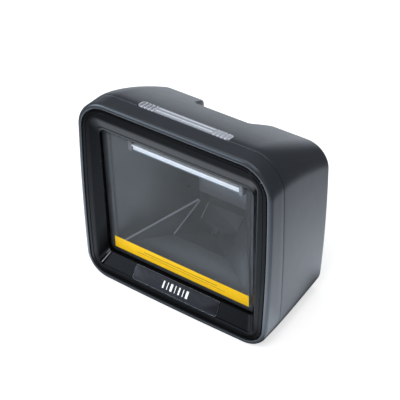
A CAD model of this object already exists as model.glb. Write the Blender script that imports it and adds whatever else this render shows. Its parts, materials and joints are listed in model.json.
import json
import math

import bmesh
import bpy
import numpy as np
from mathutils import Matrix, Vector

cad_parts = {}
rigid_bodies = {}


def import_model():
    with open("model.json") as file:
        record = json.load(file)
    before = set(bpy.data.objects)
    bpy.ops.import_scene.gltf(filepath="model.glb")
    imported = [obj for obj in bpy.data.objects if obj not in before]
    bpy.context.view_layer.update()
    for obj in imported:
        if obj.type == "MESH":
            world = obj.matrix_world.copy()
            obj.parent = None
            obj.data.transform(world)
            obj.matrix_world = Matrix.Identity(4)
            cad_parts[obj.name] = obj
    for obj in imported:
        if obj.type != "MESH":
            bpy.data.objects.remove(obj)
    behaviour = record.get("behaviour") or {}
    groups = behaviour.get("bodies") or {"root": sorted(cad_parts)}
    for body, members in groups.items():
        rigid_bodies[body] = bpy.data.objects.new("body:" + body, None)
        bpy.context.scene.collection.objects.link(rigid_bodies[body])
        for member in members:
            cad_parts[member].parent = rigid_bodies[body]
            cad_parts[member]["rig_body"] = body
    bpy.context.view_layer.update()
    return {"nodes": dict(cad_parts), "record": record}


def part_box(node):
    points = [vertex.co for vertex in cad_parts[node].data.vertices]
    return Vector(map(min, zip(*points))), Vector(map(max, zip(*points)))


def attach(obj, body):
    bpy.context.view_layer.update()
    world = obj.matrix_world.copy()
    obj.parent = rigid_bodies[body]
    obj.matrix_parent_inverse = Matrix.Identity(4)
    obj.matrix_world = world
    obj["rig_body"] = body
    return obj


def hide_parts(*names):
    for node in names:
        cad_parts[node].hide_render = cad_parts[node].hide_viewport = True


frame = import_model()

# Shapes are drawn in millimetres with y = 0 at the front rim and moved into the packed
# frame when a mesh is made.

# ---- driving dimensions, millimetres ----
MM = 0.001
BODY_W = 150.0
BODY_H = 145.0
BODY_D = 77.0
FOOT_GAP = 0.6
RIM_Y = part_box("front_frame")[0].y / MM
LEAN = math.tan(math.radians(2.0))
SEAM = 17.7
SEAM_GAP = 0.35
RIM_W = 3.2
CORNER_TOP, CORNER_LOW = 22.0, 17.0
SIDE_BOW, FOOT_BOW = 1.6, 1.2
MID_Z = (BODY_H + FOOT_GAP) / 2
FULL_H = BODY_H - FOOT_GAP
WIN_Z = MID_Z - 0.2
CLEAR_W, CLEAR_H = 110.0, 95.0
OPEN_W, OPEN_H = CLEAR_W + 8, CLEAR_H + 7.5
GLASS_Y = 10.2
FLAT_Y = 15.0
TOP_DROP, SIDE_DRAW = 26.5, 3.6
WALL = 2.6
CHANNEL_DEPTH, CHANNEL_HALF, CHANNEL_SIDE = 6.0, 12.0, 16.0
SCOOP_DEPTH, SCOOP_HALF, SCOOP_SIDE = 20.0, 20.5, 8.0
SCOOP_Z, SCOOP_LEAN, SCOOP_BLEND = MID_Z + 17, math.tan(math.radians(19.0)), 1.6
REAR_ROUND = 3.0
BAR_W, BAR_D = 69.0, 7.0
BAR_Y = SEAM - BODY_H * LEAN + SEAM_GAP + 0.1 + BAR_D / 2
CASE_X, CASE_LOW, CASE_HIGH = BODY_W / 2 - 10, 24.0, 100.0
BUTTON_X, BUTTON_Z, BUTTON_D = 46.0, 14.6, 8.0
BEEPER_X, BEEPER_Z = -46.0, 60.0
SLIT_W, SLIT_H, SLIT_PITCH = 12.0, 1.2, 2.8
SOCKET_Z, SOCKET_W, SOCKET_H = 17.15, 14.6, 13.0
LABEL_X, LABEL_Z, LABEL_W, LABEL_H = 46.0, 62.0, 30.0, 36.0
FOOT_X, FOOT_Y, FOOT_R = 52.0, (27.0, 66.0), 6.1
INSERT_X, INSERT_Y, INSERT_R = 20.0, 45.0, 3.0
CREASE_R, CREASE_RUN, CREASE_RISE, CREASE_ANGLE = 0.4, 9.0, 5.0, 20.0
WELD, WELD_FINE = 2e-6, 1e-7
BEVEL_STEPS, BEVEL_OVER = 2, 25.0
SHARP, SHARP_SHELL, SHARP_CHAMBER, SHARP_BAR = 35.0, 50.0, 18.0, 60.0

NODES = frame["nodes"]
SLOTS = {s["node"]: s["material_slot"] for s in frame["record"]["subparts"]}
DONE = {}
RIMMED = {"optical_chamber": "chamber_edge", "nameplate": "plate_edge"}


# ---- outlines: closed loops of (x, z), always the same number of points ----

ARC, EDGE_X, EDGE_Z = 20, 96, 60


def loop_plan():
    """Per point of a loop: (share of half width, corner cosine, height share, corner sine)."""
    plan = []
    half = ARC // 2

    def arc(sx, top, start, first, last):
        for k in range(first, last):
            a = math.radians(start + 90 * k / ARC)
            plan.append((sx, math.cos(a), top, math.sin(a)))

    arc(-1, 0, 180, half, ARC)
    plan.extend((2 * k / EDGE_X - 1, 0, 0, -1) for k in range(EDGE_X))
    arc(1, 0, 270, 0, half)
    arc(1, 0, 270, half, ARC)
    plan.extend((1, 1, k / EDGE_Z, 0) for k in range(EDGE_Z))
    arc(1, 1, 0, 0, half)
    arc(1, 1, 0, half, ARC)
    plan.extend((1 - 2 * k / EDGE_X, 0, 1, 1) for k in range(EDGE_X))
    arc(-1, 1, 90, 0, half)
    arc(-1, 1, 90, half, ARC)
    plan.extend((-1, -1, 1 - k / EDGE_Z, 0) for k in range(EDGE_Z))
    arc(-1, 0, 180, 0, half)
    return np.array(plan, float)


PLAN = loop_plan()
COUNT = len(PLAN)
SIDE_X, SIDE_Z = EDGE_X + ARC, EDGE_Z + ARC


def outline(w, h, r_top, r_low, bow=True):
    """Rounded rectangle about the origin, its sides and lower edge bowed like the body's."""
    share, cos, high, sin = PLAN.T
    r = np.where(high < 0.5, r_low, r_top) + 0 * share
    r = np.where((high > 0) & (high < 1), 0, r)
    on_side = (np.abs(share) == 1) & (np.abs(cos) == 1)
    x = share * (w / 2 - r) + np.where(on_side & (r == 0), 0, cos * r)
    z = -(h / 2 - r_low) * (1 - high) + (h / 2 - r_top) * high
    z = z + sin * np.where((high > 0) & (high < 1), 0, r)
    if bow:
        u, v = 2 * x / w, 2 * z / h
        x = x - SIDE_BOW * v * v * u
        z = z + np.where(z < 0, FOOT_BOW * u * u * np.abs(v), 0)
    return x, z


def ring(xz, y, mid=MID_Z):
    """Loop of points at depth y, which may depend on height."""
    x, z = xz
    z = z + mid
    depth = y(z) if callable(y) else y
    return np.stack([x, depth + 0 * x, z], axis=1)


def leaning(y):
    """Depth of a plane that leans with the window, y at counter height."""
    return lambda z: y - z * LEAN


def body_ring(inset, y):
    """The front outline, drawn in by an inset."""
    loop = outline(BODY_W - 2 * inset, FULL_H - 2 * inset, CORNER_TOP - inset, CORNER_LOW - inset)
    return ring(loop, y)


def box_ring(w, h, r_top, r_low, y, mid):
    return ring(outline(w, h, r_top, r_low, bow=False), y, mid)


def fillet(a, corner, b, steps):
    """Rings of a rounded edge that leaves ring a, turns at corner and arrives at ring b."""
    out = []
    for k in range(steps + 1):
        t = k / steps
        out.append((1 - t) ** 2 * a + 2 * t * (1 - t) * corner + t * t * b)
    return out


def mix(a, b, t):
    return a * (1 - t) + b * t


# ---- meshes ----


def make(name, points, faces, node, sharp=SHARP):
    """A piece that stands for a CAD node, from points in millimetres, y from the rim."""
    mesh = bpy.data.meshes.new(name)
    points = np.asarray(points, float) + np.array([0, RIM_Y, 0])
    mesh.from_pydata((points * MM).tolist(), [], [list(map(int, f)) for f in faces])
    bm = bmesh.new()
    bm.from_mesh(mesh)
    bmesh.ops.remove_doubles(bm, verts=bm.verts, dist=WELD_FINE)
    bmesh.ops.recalc_face_normals(bm, faces=bm.faces)
    bm.to_mesh(mesh)
    bm.free()
    smooth(mesh, sharp)
    obj = bpy.data.objects.new(name, mesh)
    bpy.context.scene.collection.objects.link(obj)
    return adopt(obj, node)


def smooth(mesh, sharp):
    mesh.shade_smooth()
    mesh.set_sharp_from_angle(angle=math.radians(sharp))
    mesh.update()


def adopt(obj, node):
    """obj stands for a CAD node and rides on its body."""
    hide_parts(node)
    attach(obj, NODES[node]["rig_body"])
    DONE[node] = obj
    return obj


def skin(rings, closed=False):
    """Points and quads of a surface through rings of equal length."""
    count = len(rings[0])
    points = np.concatenate(rings)
    faces = []
    last = len(rings) if closed else len(rings) - 1
    for k in range(last):
        a, b = k * count, (k + 1) % len(rings) * count
        for j in range(count):
            n = (j + 1) % count
            faces.append((a + j, a + n, b + n, b + j))
    return points, faces


def coons(edge):
    """Grid of points that fills a loop: rows go up, columns go across."""
    low = edge[: SIDE_X + 1]
    right = edge[SIDE_X: SIDE_X + SIDE_Z + 1]
    top = edge[SIDE_X + SIDE_Z: 2 * SIDE_X + SIDE_Z + 1][::-1]
    left = np.concatenate([edge[2 * SIDE_X + SIDE_Z:], edge[:1]])[::-1]
    u = share_of(low, top)[None, :, None]
    v = share_of(left, right)[:, None, None]
    corners = ((1 - u) * (1 - v) * low[0] + u * (1 - v) * low[-1]
               + (1 - u) * v * top[0] + u * v * top[-1])
    return ((1 - v) * low[None] + v * top[None] + (1 - u) * left[:, None]
            + u * right[:, None] - corners)


def share_of(a, b):
    """How far along two matching edges each point is, from 0 to 1."""
    step = np.linalg.norm(np.diff((a + b) / 2, axis=0), axis=1)
    total = np.concatenate([[0], np.cumsum(step)])
    return total / total[-1]


def cap(points, faces, edge, shape=None):
    """Closes a loop with a grid; shape may move the grid's points."""
    grid = coons(edge)
    rows, cols = grid.shape[:2]
    flat = grid.reshape(-1, 3)
    if shape is not None:
        inner = np.zeros((rows, cols), bool)
        inner[1:-1, 1:-1] = True
        flat = np.where(inner.reshape(-1, 1), shape(flat), flat)
    base = len(points)
    extra = []
    for r in range(rows - 1):
        for c in range(cols - 1):
            a = base + r * cols + c
            extra.append((a, a + 1, a + cols + 1, a + cols))
    return np.concatenate([points, flat]), faces + extra


def refined(node, bevel, sharp=SHARP):
    """A piece with a CAD node's own shape, its edges rounded by a bevel in millimetres."""
    bm = bmesh.new()
    bm.from_mesh(NODES[node].data)
    bmesh.ops.remove_doubles(bm, verts=bm.verts, dist=WELD)
    if bevel:
        edges = [e for e in bm.edges
                 if e.is_manifold and e.calc_face_angle(0) > math.radians(BEVEL_OVER)]
        made = bmesh.ops.bevel(bm, geom=edges, offset=bevel * MM, offset_type="OFFSET",
                               segments=BEVEL_STEPS, profile=0.5, affect="EDGES", clamp_overlap=True)
        for face in made["faces"]:
            face.material_index = 1 if node in RIMMED else 0
    bmesh.ops.recalc_face_normals(bm, faces=bm.faces)
    mesh = bpy.data.meshes.new(node + "_piece")
    bm.to_mesh(mesh)
    bm.free()
    smooth(mesh, sharp)
    obj = bpy.data.objects.new(node + "_piece", mesh)
    bpy.context.scene.collection.objects.link(obj)
    return adopt(obj, node)


def crease_ends(mesh):
    """End points, in metres, of the creases that run into the depth of the chamber."""
    bm = bmesh.new()
    bm.from_mesh(mesh)
    bmesh.ops.remove_doubles(bm, verts=bm.verts, dist=WELD)
    ends = []
    for e in bm.edges:
        a, b = (v.co.copy() for v in e.verts)
        short = abs(a.y - b.y) < CREASE_RUN * MM or abs(a.z - b.z) < CREASE_RISE * MM
        if not e.is_manifold or short:
            continue
        facing = sum((f.normal for f in e.link_faces), Vector())
        if e.calc_face_angle(0) > math.radians(CREASE_ANGLE) and facing.y < 0:
            ends.append((a, b))
    bm.free()
    return ends


def bead(bm, a, b, radius, sides=8):
    """A thin rounded bead from a to b; on the lit left side it has the lighter material."""
    along = (b - a).normalized()
    side = along.cross(Vector((0, 0, 1))).normalized()
    up = side.cross(along)
    rings = []
    for end in (a, b):
        ring_of = []
        for k in range(sides):
            t = 2 * math.pi * k / sides
            ring_of.append(bm.verts.new(end + (side * math.cos(t) + up * math.sin(t)) * radius))
        rings.append(ring_of)
    faces = [bm.faces.new([rings[0][k], rings[0][(k + 1) % sides],
                           rings[1][(k + 1) % sides], rings[1][k]]) for k in range(sides)]
    faces += [bm.faces.new(rings[0][::-1]), bm.faces.new(rings[1])]
    for face in faces:
        face.material_index = 1 if a.x < 0 else 0


def optical_chamber():
    """The chamber with thin beads along its creases."""
    obj = refined("optical_chamber", 0, SHARP_CHAMBER)
    bm = bmesh.new()
    bm.from_mesh(obj.data)
    for a, b in crease_ends(NODES["optical_chamber"].data):
        bead(bm, a, b, CREASE_R * MM)
    bmesh.ops.recalc_face_normals(bm, faces=bm.faces)
    bm.to_mesh(obj.data)
    bm.free()
    smooth(obj.data, SHARP_CHAMBER)


# ---- cutters, for openings in the rear housing ----


def solid(rings):
    """Points and faces of a closed prism through small rings."""
    points, faces = skin(rings)
    count = len(rings[0])
    return points, faces + [list(range(count))[::-1],
                            list(range(len(points) - count, len(points)))]


def circle(x, z, r, y, n=48):
    a = np.arange(n) * 2 * math.pi / n
    return np.stack([x + r * np.cos(a), y + 0 * a, z + r * np.sin(a)], axis=1)


def flat_circle(x, y, r, z, n=48):
    a = np.arange(n) * 2 * math.pi / n
    return np.stack([x + r * np.cos(a), y + r * np.sin(a), z + 0 * a], axis=1)


def small_box(x, z, w, h, r, y, n=5):
    """Small rounded rectangle facing the rear."""
    pts = []
    for cx, cz, start in ((1, 1, 0), (-1, 1, 90), (-1, -1, 180), (1, -1, 270)):
        for k in range(n + 1):
            a = math.radians(start + 90 * k / n)
            pts.append((x + cx * (w / 2 - r) + r * math.cos(a), y,
                        z + cz * (h / 2 - r) + r * math.sin(a)))
    return np.array(pts)


def flat_box(x, y, w, d, r, z, n=6):
    """Small rounded rectangle facing up."""
    pts = small_box(x, y, w, d, r, z, n)
    return pts[:, [0, 2, 1]]


def flared(shape, deep, surface, flare=0.35):
    """Rings of a cutter whose mouth at the surface is chamfered; shape(grow, y) gives a ring."""
    return [shape(0, deep), shape(0, surface - flare), shape(flare, surface),
            shape(flare, surface + 5)]


def cut(obj, solids):
    """Takes closed solids out of a piece, all at once."""
    bm = bmesh.new()
    for points, faces in solids:
        pts = (np.asarray(points) + np.array([0, RIM_Y, 0])) * MM
        verts = [bm.verts.new(p) for p in pts]
        for f in faces:
            bm.faces.new([verts[i] for i in f])
    bmesh.ops.recalc_face_normals(bm, faces=bm.faces)
    mesh = bpy.data.meshes.new("cutters")
    bm.to_mesh(mesh)
    bm.free()
    tool = bpy.data.objects.new("cutters", mesh)
    bpy.context.scene.collection.objects.link(tool)
    mod = obj.modifiers.new("cut", "BOOLEAN")
    mod.operation, mod.solver, mod.object = "DIFFERENCE", "EXACT", tool
    mod.use_self = False
    bpy.context.view_layer.update()
    done = bpy.data.meshes.new_from_object(
        obj.evaluated_get(bpy.context.evaluated_depsgraph_get()))
    obj.modifiers.clear()
    obj.data = done
    bpy.data.objects.remove(tool)
    smooth(obj.data, SHARP_SHELL)


# ---- front frame ----

LIP_Y = 3.2
FLANGE_IN = RIM_W + 2.4
ROUND = RIM_W * 0.72


def front_frame():
    seam = leaning(SEAM)
    rings = [body_ring(RIM_W, LIP_Y), body_ring(RIM_W, 0.45)]
    rings += fillet(body_ring(RIM_W, 0.4), body_ring(RIM_W, 0), body_ring(RIM_W - 0.4, 0), 4)
    for k in range(13):
        a = math.radians(90 * k / 12)
        rings.append(body_ring(ROUND * (1 - math.sin(a)), ROUND * (1 - math.cos(a))))
    for y in (4.5, 7.5, 10.0):
        rings.append(body_ring(0, y))
    back = body_ring(0, leaning(SEAM - 0.35))
    rings.append(back)
    rings += fillet(back, body_ring(0, seam), body_ring(0.35, seam), 4)
    rings += [body_ring(1.5, seam), body_ring(1.5, leaning(SEAM - 2.6)),
              body_ring(RIM_W, leaning(SEAM - 2.6)), body_ring(RIM_W, 5.2),
              body_ring(FLANGE_IN, 5.2), body_ring(FLANGE_IN, LIP_Y)]
    make("frame_shell", *skin(rings, closed=True), "front_frame")


# ---- funnel bezel ----

LAND_Y = 0.5
MOUTH_W, MOUTH_H = OPEN_W + 10, OPEN_H + 19
THROAT_Z = WIN_Z - 0.5
MOUTH_Z = MID_Z - 0.5


def mouth_ring(grow, y):
    return box_ring(MOUTH_W + 2 * grow, MOUTH_H + 2 * grow, 7 + grow, 4.5 + grow, y, MOUTH_Z)


def throat_ring(grow, y):
    return box_ring(OPEN_W + 2 * grow, OPEN_H + 2 * grow, 4.5 + grow, 3.2 + grow, leaning(y),
                    THROAT_Z)


def inner_bezel():
    edge = RIM_W + 0.7
    land, mouth = body_ring(edge + 0.5, LAND_Y), mouth_ring(0, LAND_Y)
    throat = throat_ring(0, GLASS_Y - 2.2)
    rings = [body_ring(edge, 3.1), body_ring(edge, LAND_Y + 0.6)]
    rings += fillet(body_ring(edge, LAND_Y + 0.5), body_ring(edge, LAND_Y), land, 4)
    step = body_ring(edge + 2.1, LAND_Y)
    rings += [step, body_ring(edge + 2.3, LAND_Y + 0.35), body_ring(edge + 2.6, LAND_Y + 0.35),
              body_ring(edge + 2.9, LAND_Y)]
    rings += [mix(body_ring(edge + 3.1, LAND_Y), mouth_ring(1.1, LAND_Y), t)
              for t in (0, 0.3, 0.6, 0.9)]
    rings += fillet(mouth_ring(1.1, LAND_Y), mouth, mix(mouth, throat, 0.12), 7)
    rings += [mix(mouth, throat, t) for t in (0.25, 0.4, 0.55, 0.7, 0.85)]
    rings += fillet(mix(mouth, throat, 0.93), throat, throat_ring(0, GLASS_Y - 1.6), 5)
    rings += [throat_ring(0, GLASS_Y), throat_ring(1.6, GLASS_Y), throat_ring(1.6, GLASS_Y + 2),
              throat_ring(4.3, GLASS_Y + 2), throat_ring(4.3, GLASS_Y - 2.2),
              throat_ring(2.6, GLASS_Y - 3.2), mouth_ring(2.2, 3.1)]
    make("bezel_shell", *skin(rings, closed=True), "inner_bezel")


# ---- rear housing ----


def hull_at(y, inset):
    """Loop of the housing; each point may have a depth of its own."""
    s = np.maximum(0, (y - FLAT_Y) / (BODY_D - FLAT_Y))
    w = BODY_W - 2 * SIDE_DRAW * s ** 1.3
    top = BODY_H - TOP_DROP * s ** 1.33
    low = FOOT_GAP + 1.2 * s
    x, z = outline(w - 2 * inset, top - low - 2 * inset, CORNER_TOP - 6 * s - inset,
                   CORNER_LOW - 3 * s - inset)
    return np.stack([x, y + 0 * x, z + (top + low) / 2], axis=1)


def trough(x, half, side):
    """Cross section of a channel: 1 on its floor, 0 beside it, S-shaped sides."""
    t = np.clip((np.abs(x) - half) / side, 0, 1)
    return (1 + np.cos(math.pi * t)) / 2


def channel(x, z, grow=0.0):
    """Depth of the rear channel: shallow below, deeper and deeper towards the top edge."""
    low = CHANNEL_DEPTH * trough(x, CHANNEL_HALF + grow, CHANNEL_SIDE)
    share = trough(x, SCOOP_HALF + 1.3 * grow, SCOOP_SIDE)
    deep = SCOOP_DEPTH * share
    floor_depth = np.maximum(CHANNEL_DEPTH + (z - SCOOP_Z) * SCOOP_LEAN, 0)
    blend = SCOOP_BLEND * share
    least = (deep + floor_depth - np.sqrt((deep - floor_depth) ** 2 + blend ** 2)) / 2
    return np.maximum(low, least)


def hull_ring(share, before_rear, inset, lead, grow=0.0):
    """Ring a share of the way from lead behind the seam to before_rear short of the rear."""
    y = np.full(COUNT, 40.0)
    for _ in range(12):
        p = hull_at(y, inset)
        rear = BODY_D - channel(p[:, 0], p[:, 2], grow) - before_rear
        front = SEAM - p[:, 2] * LEAN + lead
        y = front + share * (rear - front)
    return hull_at(y, inset)


def rear_face(p, y, grow=0.0):
    """Points of the rear face: a plane at depth y with the channel sunk into it."""
    out = p.copy()
    out[:, 1] = y - channel(p[:, 0], p[:, 2], grow)
    return out


def rear_housing():
    start = SEAM_GAP
    rings = fillet(hull_ring(0, 0, 0.6, start), hull_ring(0, 0, 0, start),
                   hull_ring(0, 0, 0, start + 0.6), 4)
    for share in np.linspace(0.03, 0.97, 22):
        rings.append(hull_ring(share, REAR_ROUND, 0, start))
    for k in range(9):
        a = math.radians(90 * k / 8)
        rings.append(hull_ring(1, REAR_ROUND * (1 - math.sin(a)),
                               REAR_ROUND * (1 - math.cos(a)), start))
    inner = [hull_ring(share, WALL + 2, WALL, start, 1.5) for share in (1, 0.75, 0.5, 0.25, 0.08)]
    inner.insert(0, hull_ring(1, WALL, WALL + 2, start, 1.5))
    tongue_back = body_ring(3.1, leaning(SEAM + 4))
    inner += [tongue_back, body_ring(3.1, leaning(SEAM - 2.3)),
              body_ring(1.65, leaning(SEAM - 2.3)), body_ring(1.65, leaning(SEAM + SEAM_GAP))]
    order = inner + rings
    points, faces = skin(order)
    points, faces = cap(points, faces, order[-1], lambda p: rear_face(p, BODY_D))
    points, faces = cap(points, faces, order[0],
                        lambda p: rear_face(p, BODY_D - WALL, 1.5))
    obj = make("housing_shell", points, faces, "rear_housing", SHARP_SHELL)
    for group in (housing_openings(), bar_slot(0), bar_slot(1)):
        cut(obj, group)


def housing_openings():
    """Everything that is cut out of the smooth shell, except the light bar's slot."""
    return screw_wells() + [socket_mouth(), button_bore()] + sound_slits() + sinks()


def screw_wells():
    return [solid(flared(lambda g, y, x=x, z=z: circle(x, z, 3 + g, y),
                         BODY_D - WALL - 3, BODY_D))
            for x in (-CASE_X, CASE_X) for z in (CASE_LOW, CASE_HIGH)]


def socket_mouth():
    def shape(grow, y):
        return small_box(0, SOCKET_Z, SOCKET_W + 2 * grow, SOCKET_H + 2 * grow, 0.6 + grow, y)
    return solid(flared(shape, BODY_D - 15, BODY_D - CHANNEL_DEPTH, 0.5))


def button_bore():
    """Bore of the button and the dished sink round it: (growth of radius, depth from the rear)."""
    steps = ((0.1, -8), (0.1, -1.2), (2.4, -1.2), (3, -0.6), (3.6, 0), (3.6, 3))
    return solid([circle(BUTTON_X, BUTTON_Z, BUTTON_D / 2 + grow, BODY_D + back)
                  for grow, back in steps])


def sound_slits():
    out = []
    for k in range(-2, 3):
        z = BEEPER_Z + SLIT_PITCH * k
        out.append(solid(flared(
            lambda g, y, z=z: small_box(BEEPER_X, z, SLIT_W + 2 * g, SLIT_H + 2 * g, 0.55 + g, y),
            BODY_D - 6, BODY_D, 0.25)))
    return out


def sinks():
    """Seats of the label, the feet and the bracket inserts."""
    out = [solid([small_box(LABEL_X, LABEL_Z, LABEL_W, LABEL_H, 0.8, BODY_D + back)
                  for back in (-0.4, 3)])]
    for x in (-FOOT_X, FOOT_X):
        for y in FOOT_Y:
            out.append(solid([flat_circle(x, y, FOOT_R, z) for z in (-3, 2.65)]))
    for x in (-INSERT_X, INSERT_X):
        out.append(solid([flat_circle(x, INSERT_Y, INSERT_R, z) for z in (-3, 7.6)]))
    return out


def bar_slot(part):
    """Slot of the light bar: its own outline, and the way out towards the seam."""
    w, low, high = BAR_W + 0.2, BODY_H - 4.7, BODY_H + 5
    if part:
        return [solid([flat_box(0, BAR_Y - 4, w, BAR_D, 0.2, low),
                       flat_box(0, BAR_Y - 4, w, BAR_D, 0.2, high)])]
    return [solid([flat_box(0, BAR_Y, w, BAR_D + 0.2, 2.1, low),
                   flat_box(0, BAR_Y, w, BAR_D + 0.2, 2.1, high)])]


# ---- light bar ----


def bar_loop(inset, z):
    """Loop of the bar seen from above; its upper surface follows the housing."""
    x, y = outline(BAR_W - 2 * inset, BAR_D - 2 * inset, 2 - inset * 0.6, 2 - inset * 0.6, False)
    y = y + BAR_Y
    height = z(y) if callable(z) else z
    return np.stack([x, y, height + 0 * x], axis=1)


def bar_top(y):
    s = np.maximum(0, (y - FLAT_Y) / (BODY_D - FLAT_Y))
    return BODY_H + 0.4 - TOP_DROP * 0.75 * s ** 1.33


def bar_surface(p):
    """Cross ribs at both ends, a flat crown and two grooves between them."""
    out = p.copy()
    x, y = p[:, 0], p[:, 1]
    ends = np.abs(x) > BAR_W / 2 - 12.2
    inside = np.clip((BAR_W / 2 - 1.2 - np.abs(x)) / 0.4, 0, 1)
    wave = 0.5 - 0.5 * np.cos(2 * math.pi * (BAR_W / 2 - 1.0 - np.abs(x)) / 2.8)
    ribs = np.where(ends, -0.75 * wave ** 3 * inside, 0)
    crown = -0.10 * ((y - BAR_Y) / (BAR_D / 2)) ** 2
    groove = np.zeros(len(p))
    middle = np.clip((BAR_W / 2 - 13 - np.abs(x)) / 0.8, 0, 1)
    for off in (-1.6, 1.6):
        groove -= 0.35 * np.exp(-(((y - BAR_Y - off) / 0.35) ** 2)) * middle
    out[:, 2] = bar_top(y) + ribs + crown + groove
    return out


def indicator_bar():
    low = [bar_loop(3.3, BODY_H - 7), bar_loop(3.2, BODY_H - 4.7), bar_loop(0.1, BODY_H - 4.6),
           bar_loop(0, BODY_H - 4.5), bar_loop(0, lambda y: bar_top(y) - 0.5)]
    low += fillet(bar_loop(0, lambda y: bar_top(y) - 0.4), bar_loop(0, bar_top),
                  bar_loop(0.4, bar_top), 4)
    points, faces = skin(low)
    points, faces = cap(points, faces, low[-1], bar_surface)
    points, faces = cap(points, faces, low[0])
    make("light_bar", points, faces, "indicator_bar", SHARP_BAR)


# ---- materials ----


class Shader:
    """Small helper around a node tree."""

    def __init__(self, name):
        self.mat = bpy.data.materials.new(name)
        self.mat.use_nodes = True
        self.mat.cycles.emission_sampling = "NONE"
        self.tree = self.mat.node_tree
        self.bsdf = self.tree.nodes["Principled BSDF"]
        self.out = self.tree.nodes["Material Output"]
        self.coord = self.tree.nodes.new("ShaderNodeTexCoord").outputs["Object"]

    def node(self, kind, **values):
        n = self.tree.nodes.new(kind)
        for key, value in values.items():
            if key in n.inputs:
                n.inputs[key].default_value = value
            else:
                setattr(n, key, value)
        return n

    def link(self, a, b):
        self.tree.links.new(a, b)

    def noise(self, size_mm, detail=3.0, rough=0.5, stretch=(1, 1, 1)):
        """Noise whose features are about size_mm wide."""
        place = self.node("ShaderNodeMapping")
        place.inputs["Scale"].default_value = [s / (size_mm * MM) for s in stretch]
        self.link(self.coord, place.inputs["Vector"])
        n = self.node("ShaderNodeTexNoise", Detail=detail, Roughness=rough)
        n.inputs["Scale"].default_value = 1.0
        self.link(place.outputs["Vector"], n.inputs["Vector"])
        return n.outputs["Fac"]

    def ramp(self, fac, low, high, start=0.3, end=0.7):
        n = self.node("ShaderNodeMapRange", **{
            "From Min": start, "From Max": end, "To Min": low, "To Max": high})
        self.link(fac, n.inputs["Value"])
        return n.outputs["Result"]

    def blend(self, fac, a, b):
        n = self.node("ShaderNodeMix", data_type="RGBA")
        ins = [s for s in n.inputs if s.type == "RGBA"]
        for socket, value in zip(ins, (a, b)):
            if isinstance(value, tuple):
                socket.default_value = (*value[:3], 1)
            else:
                self.link(value, socket)
        self.link(fac, n.inputs[0])
        return [s for s in n.outputs if s.type == "RGBA"][0]

    def math(self, kind, a, b=0.0, c=0.0):
        n = self.node("ShaderNodeMath", operation=kind)
        for socket, value in zip(n.inputs, (a, b, c)):
            if isinstance(value, (int, float)):
                socket.default_value = value
            else:
                self.link(value, socket)
        return n.outputs[0]

    def bump(self, height, distance_mm, strength=1.0):
        n = self.node("ShaderNodeBump", Strength=strength, Distance=distance_mm * MM)
        self.link(height, n.inputs["Height"])
        self.link(n.outputs["Normal"], self.bsdf.inputs["Normal"])

    def edges(self, amount):
        """Up to an amount on convex edges, 0 elsewhere."""
        geo = self.node("ShaderNodeNewGeometry")
        return self.ramp(geo.outputs["Pointiness"], 0, amount, 0.505, 0.56)

    def set(self, **values):
        for key, value in values.items():
            self.bsdf.inputs[key.replace("_", " ")].default_value = value
        return self


def linear(*rgb):
    """Display colour, 0 to 255, as scene-linear values."""
    return tuple(((c / 255 + 0.055) / 1.055) ** 2.4 if c > 10 else c / 255 / 12.92 for c in rgb)


def moulded(name, rgb, rough=0.5, grain=0.35, depth=0.02, spread=0.05, worn=0.25, spec=0.5):
    """Moulded plastic: soft flow mottling, a varying sheen, optional grain and paler edges."""
    s = Shader(name)
    base = linear(*rgb)
    dark = tuple(c * (1 - 2 * spread) for c in base)
    pale = tuple(min(1, c * (1 + 2 * spread)) for c in base)
    colour = s.blend(s.noise(12, 3), dark, pale)
    edge = tuple(min(1, c * 1.7 + 0.01) for c in base)
    colour = s.blend(s.edges(worn), colour, edge)
    s.link(colour, s.bsdf.inputs["Base Color"])
    s.link(s.ramp(s.noise(7, 3), rough - 0.01, rough + 0.02), s.bsdf.inputs["Roughness"])
    if depth > 0:
        s.bump(s.noise(grain, 2, 0.6), depth)
    s.set(Specular_IOR_Level=spec, Specular_Tint=(0.79, 0.905, 1.0, 1))
    return s


def gloss(name, rgb, rough=0.12, ripple=0.004, spec=0.5, coat=0.0):
    """Polished plastic with faint dust and hairline haze."""
    s = Shader(name)
    base = linear(*rgb)
    colour = s.blend(s.ramp(s.noise(1.2, 5, 0.7), 0, 1, 0.55, 0.8), base,
                     tuple(c * 1.5 + 0.004 for c in base))
    s.link(colour, s.bsdf.inputs["Base Color"])
    s.link(s.ramp(s.noise(14, 5, 0.6), rough * 0.7, rough * 1.5), s.bsdf.inputs["Roughness"])
    s.bump(s.noise(6, 2), ripple)
    s.set(Specular_IOR_Level=spec, Coat_Weight=coat, Coat_Roughness=0.05,
          Specular_Tint=(0.84, 0.92, 1.0, 1))
    return s


def metal(name, rgb, rough=0.3, brush=(1, 1, 1), depth=0.004, size=0.5):
    """Metal with a brushed or blasted surface and slight staining."""
    s = Shader(name)
    base = linear(*rgb)
    colour = s.blend(s.ramp(s.noise(3, 4), 0, 1), tuple(c * 0.8 for c in base), base)
    s.link(colour, s.bsdf.inputs["Base Color"])
    s.link(s.ramp(s.noise(size * 2, 3, 0.5, brush), rough * 0.75, rough * 1.3),
           s.bsdf.inputs["Roughness"])
    s.bump(s.noise(size, 3, 0.5, brush), depth)
    s.set(Metallic=1.0)
    return s


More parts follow.
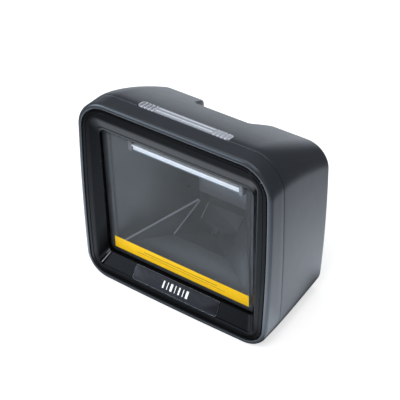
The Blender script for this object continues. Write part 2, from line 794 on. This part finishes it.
def clear_glass(name, tint, rough=0.02, ior=1.5, weight=1.0, veil=0.0):
    """Thin clear sheet that mirrors by angle, with a faint veil inside the clear opening."""
    s = Shader(name)
    clear = s.node("ShaderNodeBsdfTransparent")
    clear.inputs["Color"].default_value = (*tint, 1)
    mirror = s.node("ShaderNodeBsdfGlossy", Roughness=rough)
    haze = s.node("ShaderNodeEmission")
    haze.inputs["Color"].default_value = (0.86, 0.94, 1.0, 1)
    split = s.node("ShaderNodeSeparateXYZ")
    s.link(s.coord, split.inputs[0])
    wide = s.math("LESS_THAN", s.math("ABSOLUTE", split.outputs[0]), CLEAR_W / 2 * MM)
    tall = s.math("ABSOLUTE", s.math("SUBTRACT", split.outputs[2], WIN_Z * MM))
    inside = s.math("MULTIPLY", wide, s.math("LESS_THAN", tall, CLEAR_H / 2 * MM))
    cloud = s.ramp(s.noise(40, 2), veil * 0.8, veil * 1.2)
    s.link(s.math("MULTIPLY", cloud, inside), haze.inputs["Strength"])
    facing = s.node("ShaderNodeLayerWeight", Blend=0.5)
    steep = s.math("POWER", facing.outputs["Facing"], 5.0)
    head_on = ((ior - 1) / (ior + 1)) ** 2
    share = s.math("MULTIPLY_ADD", steep, weight * (1 - head_on), weight * head_on)
    first = s.node("ShaderNodeMixShader")
    s.link(share, first.inputs[0])
    s.link(clear.outputs[0], first.inputs[1])
    s.link(mirror.outputs[0], first.inputs[2])
    second = s.node("ShaderNodeAddShader")
    s.link(first.outputs[0], second.inputs[0])
    s.link(haze.outputs[0], second.inputs[1])
    s.link(second.outputs[0], s.out.inputs["Surface"])
    return s


def board_green(name):
    """Green circuit board with a fine grid of tracks."""
    s = Shader(name)
    tracks = s.node("ShaderNodeTexBrick", Scale=1.0)
    place = s.node("ShaderNodeMapping")
    place.inputs["Scale"].default_value = (260, 260, 260)
    s.link(s.coord, place.inputs["Vector"])
    s.link(place.outputs["Vector"], tracks.inputs["Vector"])
    tracks.inputs["Color1"].default_value = (*linear(22, 92, 52), 1)
    tracks.inputs["Color2"].default_value = (*linear(28, 104, 58), 1)
    tracks.inputs["Mortar"].default_value = (*linear(44, 132, 76), 1)
    tracks.inputs["Mortar Size"].default_value = 0.03
    s.link(tracks.outputs["Color"], s.bsdf.inputs["Base Color"])
    s.link(s.ramp(s.noise(3), 0.28, 0.42), s.bsdf.inputs["Roughness"])
    s.bump(tracks.outputs["Fac"], 0.03, 0.6)
    return s


def light_plastic(name):
    """Frosted clear plastic of the light bar, paler along its two light guides."""
    s = Shader(name)
    split = s.node("ShaderNodeSeparateXYZ")
    s.link(s.coord, split.inputs[0])
    across = s.math("SUBTRACT", split.outputs[1], (BAR_Y + RIM_Y) * MM)
    along = s.math("ABSOLUTE", split.outputs[0])
    guide = s.math("ABSOLUTE", s.math("SUBTRACT", s.math("ABSOLUTE", across), 1.75 * MM))
    lines = s.ramp(guide, 1, 0, 0.5 * MM, 1.3 * MM)
    middle = s.ramp(along, 1, 0, (BAR_W / 2 - 13.5) * MM, (BAR_W / 2 - 12.5) * MM)
    wave = s.math("SINE", s.math("MULTIPLY", along, 2 * math.pi / (2.8 * MM)))
    ribs = s.math("MULTIPLY", s.ramp(wave, 0, 1, -0.3, 0.5), s.math("SUBTRACT", 1.0, middle))
    light = s.math("MAXIMUM", s.math("MULTIPLY", lines, middle), ribs)
    colour = s.blend(light, linear(142, 146, 154), linear(188, 192, 200))
    s.link(colour, s.bsdf.inputs["Base Color"])
    s.link(s.ramp(s.noise(3, 3), 0.14, 0.20), s.bsdf.inputs["Roughness"])
    s.bump(s.noise(0.8, 2), 0.0005)
    s.set(Transmission_Weight=0.12, IOR=1.49, Coat_Weight=0.3, Coat_Roughness=0.08)
    return s


def lamp_strip(name):
    """Frosted white diffuser on a grey carrier that shows along its foot."""
    s = moulded(name, (244, 246, 250), 0.5, worn=0, depth=0)
    split = s.node("ShaderNodeSeparateXYZ")
    s.link(s.coord, split.inputs[0])
    low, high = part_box("fill_light_diffuser")
    foot = low.z + (high.z - low.z) * 0.3
    frosted = s.ramp(s.noise(3, 2), 0.90, 1.0)
    lit = s.math("MULTIPLY", s.ramp(split.outputs[2], 0, 1, foot, foot + 0.0004), frosted)
    s.link(s.blend(lit, linear(84, 88, 94), linear(216, 223, 229)), s.bsdf.inputs["Base Color"])
    return s


def printed_strip(name):
    """Yellow film with two plain thin rules along it."""
    s = Shader(name)
    split = s.node("ShaderNodeSeparateXYZ")
    s.link(s.coord, split.inputs[0])
    low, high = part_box("caution_strip")
    height = high.z - low.z

    def band(axis, at, half):
        off = s.math("SUBTRACT", split.outputs[axis], at)
        return s.math("LESS_THAN", s.math("ABSOLUTE", off), half)

    def rule(share, half_height, half_length):
        """A line at a share of the strip's height, centred on its width."""
        return s.math("MULTIPLY", band(2, low.z + height * share, half_height),
                      band(0, 0, half_length))

    rules = s.math("MAXIMUM", rule(0.62, 0.00022, 0.030), rule(0.40, 0.00015, 0.036))
    ground = s.blend(s.ramp(s.noise(6, 4), 0, 1), linear(212, 167, 4), linear(219, 175, 8))
    colour = s.blend(rules, ground, linear(60, 50, 20))
    s.link(colour, s.bsdf.inputs["Base Color"])
    s.link(s.ramp(s.noise(2), 0.36, 0.5), s.bsdf.inputs["Roughness"])
    s.bump(s.noise(0.8, 3), 0.004)
    s.set(Specular_IOR_Level=0.12)
    return s


def build_materials():
    m = {
        "frame_plastic": moulded("frame_plastic", (44, 46, 50), 0.29, 0.45, 0.0012, worn=0),
        "housing_plastic": moulded("housing_plastic", (44, 46, 50), 0.29, 0.45, 0.0012, worn=0),
        "bezel_plastic": gloss("bezel_plastic", (6, 6, 7), 0.045, 0.0002, 0.065),
        "window_glass": clear_glass("window_glass", (0.94, 0.945, 0.955), weight=0.02, veil=0.032),
        "gasket_foam": moulded("gasket_foam", (50, 52, 55), 0.7, 0.4, 0.005, worn=0)
        .set(Emission_Color=(0.9, 0.95, 1, 1), Emission_Strength=0.008),
        "yellow_strip": printed_strip("yellow_strip"),
        "plate_satin": metal("plate_satin", (42, 43, 46), 0.45, (1, 14, 14), 0.002, 0.6),
        "white_print": gloss("white_print", (236, 238, 240), 0.3),
        "light_bar": light_plastic("light_bar"),
        "circuit_board": board_green("circuit_board"),
        "led_resin": gloss("led_resin", (236, 226, 150), 0.25),
        "zinc_screw": metal("zinc_screw", (176, 178, 182), 0.3),
        "chamber_plastic": moulded("chamber_plastic", (39, 41, 43), 0.5, 1.0, 0.0, 0.01,
                                   worn=0, spec=0.3),
        "chamber_edge": moulded("chamber_edge", (132, 137, 144), 0.4, 0.3, 0.0004, 0.01,
                                worn=0),
        "black_screw": metal("black_screw", (70, 70, 74), 0.38),
        "diffuser_white": lamp_strip("diffuser_white"),
        "white_board": moulded("white_board", (232, 234, 236), 0.4, 0.6, 0.01, 0.04, worn=0),
        "bracket_sheet": moulded("bracket_sheet", (70, 72, 76), 0.4, 0.4, 0.004),
        "black_plastic": moulded("black_plastic", (34, 34, 37), 0.5, 0.3, 0.015),
        "anodised_barrel": metal("anodised_barrel", (44, 44, 48), 0.32, (1, 16, 1)),
        "lens_coated": gloss("lens_coated", (30, 26, 60), 0.03, 0.001, 0.8, 1.0),
        "aimer_glass": gloss("aimer_glass", (196, 204, 214), 0.06, 0.002, 0.6, 0.6),
        "flat_cable": moulded("flat_cable", (212, 190, 130), 0.35, 0.8, 0.02, worn=0),
        "red_insulation": gloss("red_insulation", (176, 40, 34), 0.35),
        "tinned_can": metal("tinned_can", (198, 200, 202), 0.3, (1, 1, 1), 0.006, 1.2),
        "capacitor_sleeve": gloss("capacitor_sleeve", (40, 44, 62), 0.25),
        "cream_plastic": moulded("cream_plastic", (222, 214, 190), 0.45, 0.5, 0.01),
        "gold_contact": metal("gold_contact", (226, 180, 92), 0.22),
        "button_plastic": moulded("button_plastic", (46, 48, 52), 0.5, 0.3, 0.02),
        "label_film": gloss("label_film", (214, 216, 218), 0.4),
        "foot_rubber": moulded("foot_rubber", (26, 26, 27), 0.8, 0.5, 0.05),
        "insert_brass": metal("insert_brass", (206, 168, 84), 0.3, (12, 12, 1)),
        "plate_edge": metal("plate_edge", (150, 154, 160), 0.3, depth=0.001),
    }
    return m


def dress(mesh, materials):
    """Gives a mesh its materials and keeps which face carries which."""
    marks = [face.material_index for face in mesh.polygons]
    mesh.materials.clear()
    for material in materials:
        mesh.materials.append(material)
    mesh.polygons.foreach_set("material_index", marks)


def paint(materials):
    """Every CAD node and every piece takes the material of its slot."""
    for node, name in SLOTS.items():
        dress(NODES[node].data, [materials[name].mat])
        if node in DONE:
            own = [materials[name].mat]
            if node in RIMMED:
                own.append(materials[RIMMED[node]].mat)
            dress(DONE[node].data, own)


# ---- floor, light, camera ----

# Directions, seen from the object, of the white wall, the bright front and the table's parts.
WALL_SIDE = (-0.463, 0.886)
WALL_FROM, WALL_TO, WALL_LOW, WALL_HIGH = 0.88, 0.975, 0.22, 0.42
FRONT_SIDE = (-0.710, -0.596, 0.375)
TABLE_SIDE, CORNER_SIDE = (-0.6, -0.8), (0.82, -0.57)
SIDE_TO, CORNER_FROM, CORNER_TO = 0.7, 0.8, 0.98
ROOM_BRIGHT, ROOM_DIM, FRONT_BRIGHT, FRONT_FROM, BACKDROP = 0.74, 0.13, 7.0, 0.88, 0.92
ZENITH_FROM, ZENITH_GLOW = 0.5, 0.25
ROOM_TINT = (0.90, 0.965, 1.05, 1)
# Brightness of the table: lit from below, and as reflections see it, from near to far (metres).
TABLE_GLOW, TABLE_SHINE, TABLE_FRONT, TABLE_CORNER = 0.68, 1.42, 3.4, 1.9
TABLE_NEAR, TABLE_FAR = 0.11, 0.34
FOOT_SHADE, SHADE_FROM, SHADE_TO, SHADE_BESIDE = 0.02, 0.005, 0.023, 3.0
TABLE_HALF, TABLE_CELLS, TABLE_Z = 3.0, 24, -0.0001
# The photograph's camera, fitted to its outline: degrees, millimetres, metres.
VIEW_AZIMUTH, VIEW_ELEVATION, VIEW_LENS, VIEW_DISTANCE = 35.07, 36.83, 107.85, 0.739
VIEW_TARGET = (0.02266, RIM_Y * MM, 0.10359)
# Direction (azimuth, elevation), distance, size and power of each light: degrees, metres, watts.
LIGHTS = {"overhead": ((0, 88), 1.6, (1.6, 1.6), 15),
          "spark": ((22, 52), 1.5, (0.35, 0.35), 2),
          "fill": ((12, 46), 1.5, (0.5, 0.5), 6),
          "glint_low": ((25, 1), 1.5, (0.07, 0.3), 27),
          "glint_high": ((-2, 13), 1.5, (0.07, 0.3), 13)}
LIT_POINT = (0, 0, 0.07)


def floor():
    n = TABLE_CELLS
    pts = [((i / n - 0.5) * 2 * TABLE_HALF, (j / n - 0.5) * 2 * TABLE_HALF, TABLE_Z)
           for j in range(n + 1) for i in range(n + 1)]
    faces = []
    for j in range(n):
        for i in range(n):
            a, b = j * (n + 1) + i, (j + 1) * (n + 1) + i
            faces.append((a, a + 1, b + 1, b))
    mesh = bpy.data.meshes.new("floor")
    mesh.from_pydata(pts, [], faces)
    obj = bpy.data.objects.new("floor", mesh)
    bpy.context.scene.collection.objects.link(obj)
    mesh.materials.append(table_top())


def table_top():
    """Pale table, lit from below; reflections see a brightness that depends on the place."""
    s = Shader("floor")
    colour = s.blend(s.ramp(s.noise(300, 2), 0, 1), (0.50, 0.50, 0.50), (0.52, 0.52, 0.52))
    s.link(colour, s.bsdf.inputs["Base Color"])
    s.set(Roughness=0.9, Specular_IOR_Level=0.1, Emission_Color=(1, 1, 1, 1),
          Emission_Strength=TABLE_GLOW)
    split = s.node("ShaderNodeSeparateXYZ")
    s.link(s.coord, split.inputs[0])
    glow = s.node("ShaderNodeEmission")
    glow.inputs["Color"].default_value = ROOM_TINT
    s.link(table_shine(s, split.outputs[0], split.outputs[1]), glow.inputs["Strength"])
    seen = s.node("ShaderNodeMixShader")
    s.link(s.node("ShaderNodeLightPath").outputs["Is Glossy Ray"], seen.inputs[0])
    s.link(s.bsdf.outputs[0], seen.inputs[1])
    s.link(glow.outputs[0], seen.inputs[2])
    s.link(seen.outputs[0], s.out.inputs["Surface"])
    return s.mat


def toward(s, x, y, side):
    """How far a point lies in a horizontal direction."""
    return s.math("ADD", s.math("MULTIPLY", x, side[0]), s.math("MULTIPLY", y, side[1]))


def table_shine(s, x, y):
    """Bright near the object, brighter at its front, dark at its foot, then the room."""
    away = s.math("SQRT", s.math("ADD", s.math("MULTIPLY", x, x), s.math("MULTIPLY", y, y)))

    def share(side):
        return s.math("DIVIDE", toward(s, x, y, side), away)

    near = s.math("MULTIPLY", s.ramp(away, 1, 0, TABLE_NEAR, TABLE_FAR),
                  s.ramp(share(TABLE_SIDE), TABLE_SHINE, TABLE_FRONT, 0, SIDE_TO))
    beside = s.math("SUBTRACT", s.math("ABSOLUTE", x), BODY_W / 2 * MM)
    clear = s.math("MAXIMUM", s.math("MULTIPLY", beside, SHADE_BESIDE),
                   s.math("SUBTRACT", s.math("ABSOLUTE", y), BODY_D / 2 * MM))
    near = s.math("MULTIPLY", near, s.ramp(clear, FOOT_SHADE, 1, SHADE_FROM, SHADE_TO))
    near = s.math("MULTIPLY", near,
                  s.ramp(share(CORNER_SIDE), 1, TABLE_CORNER, CORNER_FROM, CORNER_TO))
    far = s.math("MULTIPLY_ADD", s.ramp(share(WALL_SIDE), 0, 1, WALL_FROM, WALL_TO),
                 ROOM_BRIGHT, ROOM_DIM)
    return s.math("MAXIMUM", near, far)


def aim(obj, target, direction, distance):
    """Puts a light or camera at (azimuth, elevation) in degrees from a target, facing it."""
    a, e = map(math.radians, direction)
    back = Vector((math.sin(a) * math.cos(e), -math.cos(a) * math.cos(e), math.sin(e)))
    obj.location = Vector(target) + back * distance
    obj.rotation_mode = "QUATERNION"
    obj.rotation_quaternion = (-back).to_track_quat("-Z", "Y")
    bpy.context.scene.collection.objects.link(obj)


def area(name, direction, distance, size, power):
    """Rectangular soft light that looks at the middle of the object."""
    light = bpy.data.lights.new(name, "AREA")
    light.shape = "RECTANGLE"
    light.size, light.size_y = size
    light.energy = power
    obj = bpy.data.objects.new(name, light)
    aim(obj, LIT_POINT, direction, distance)
    return obj


def room():
    """A dim room with a white wall at the back left, a bright front and a pale backdrop."""
    world = bpy.data.worlds.new("studio")
    bpy.context.scene.world = world
    world.use_nodes = True
    # The same helper, round the world's nodes in place of a material's.
    s = Shader.__new__(Shader)
    s.tree = world.node_tree
    back = s.tree.nodes["Background"]
    split = s.node("ShaderNodeSeparateXYZ")
    s.link(s.node("ShaderNodeTexCoord").outputs["Generated"], split.inputs[0])
    x, y, z = split.outputs
    wall = s.math("MULTIPLY", s.ramp(toward(s, x, y, WALL_SIDE), 0, 1, WALL_FROM, WALL_TO),
                  s.ramp(z, 1, 0, WALL_LOW, WALL_HIGH))
    zenith = s.ramp(z, 0, ZENITH_GLOW, ZENITH_FROM, 1)
    glow = s.math("MAXIMUM", wall, zenith)
    level = s.math("MULTIPLY_ADD", glow, ROOM_BRIGHT - ROOM_DIM, ROOM_DIM)
    front = s.math("ADD", s.math("MULTIPLY", x, FRONT_SIDE[0]), s.math("ADD",
                   s.math("MULTIPLY", y, FRONT_SIDE[1]), s.math("MULTIPLY", z, FRONT_SIDE[2])))
    level = s.math("MULTIPLY_ADD", s.ramp(front, 0, 1, FRONT_FROM, 1), FRONT_BRIGHT, level)
    seen = s.node("ShaderNodeLightPath").outputs["Is Camera Ray"]
    strength = s.node("ShaderNodeMix")
    s.link(seen, strength.inputs[0])
    s.link(level, strength.inputs[2])
    strength.inputs[3].default_value = BACKDROP
    s.link(strength.outputs[0], back.inputs["Strength"])
    s.link(s.blend(seen, ROOM_TINT, (1.0, 1.0, 1.0)), back.inputs["Color"])


def lights():
    """Soft light from above and the front, and two narrow glints for the glossy bezel only."""
    made = {name: area(name, *values) for name, values in LIGHTS.items()}
    made["fill"].visible_glossy = False
    glossy = bpy.data.collections.new("glossy_pieces")
    glossy.objects.link(bpy.data.objects["bezel_shell"])
    for name in ("glint_low", "glint_high"):
        made[name].visible_diffuse = False
        made[name].light_linking.receiver_collection = glossy
    view = bpy.context.scene.view_settings
    view.view_transform = "Standard"
    view.look = "None"


def camera():
    """The photograph's viewing angle."""
    cam = bpy.data.cameras.new("camera")
    cam.sensor_width = 36
    cam.lens = VIEW_LENS
    cam.clip_start, cam.clip_end = 0.01, 20
    obj = bpy.data.objects.new("camera", cam)
    aim(obj, VIEW_TARGET, (VIEW_AZIMUTH, VIEW_ELEVATION), VIEW_DISTANCE)
    bpy.context.scene.camera = obj


BEVELS = {"nameplate": 0.5, "nameplate_emblem": 0.1, "window_gasket": 0.2,
          "caution_strip": 0.05, "fill_light_diffuser": 0.5, "fill_light_brackets": 0.25,
          "pocket_screw": 0.15, "engine_bracket": 0.2, "camera_module": 0.25,
          "lens_barrel": 0.2, "aimer_lenses": 0.3, "volume_button": 0.4, "case_screws": 0.2,
          "interface_jack": 0.2, "rubber_feet": 0.4, "bracket_inserts": 0.2,
          "rating_label": 0.05}


def build():
    front_frame()
    inner_bezel()
    rear_housing()
    indicator_bar()
    optical_chamber()
    for node, bevel in BEVELS.items():
        refined(node, bevel)


build()
paint(build_materials())
floor()
room()
lights()
camera()
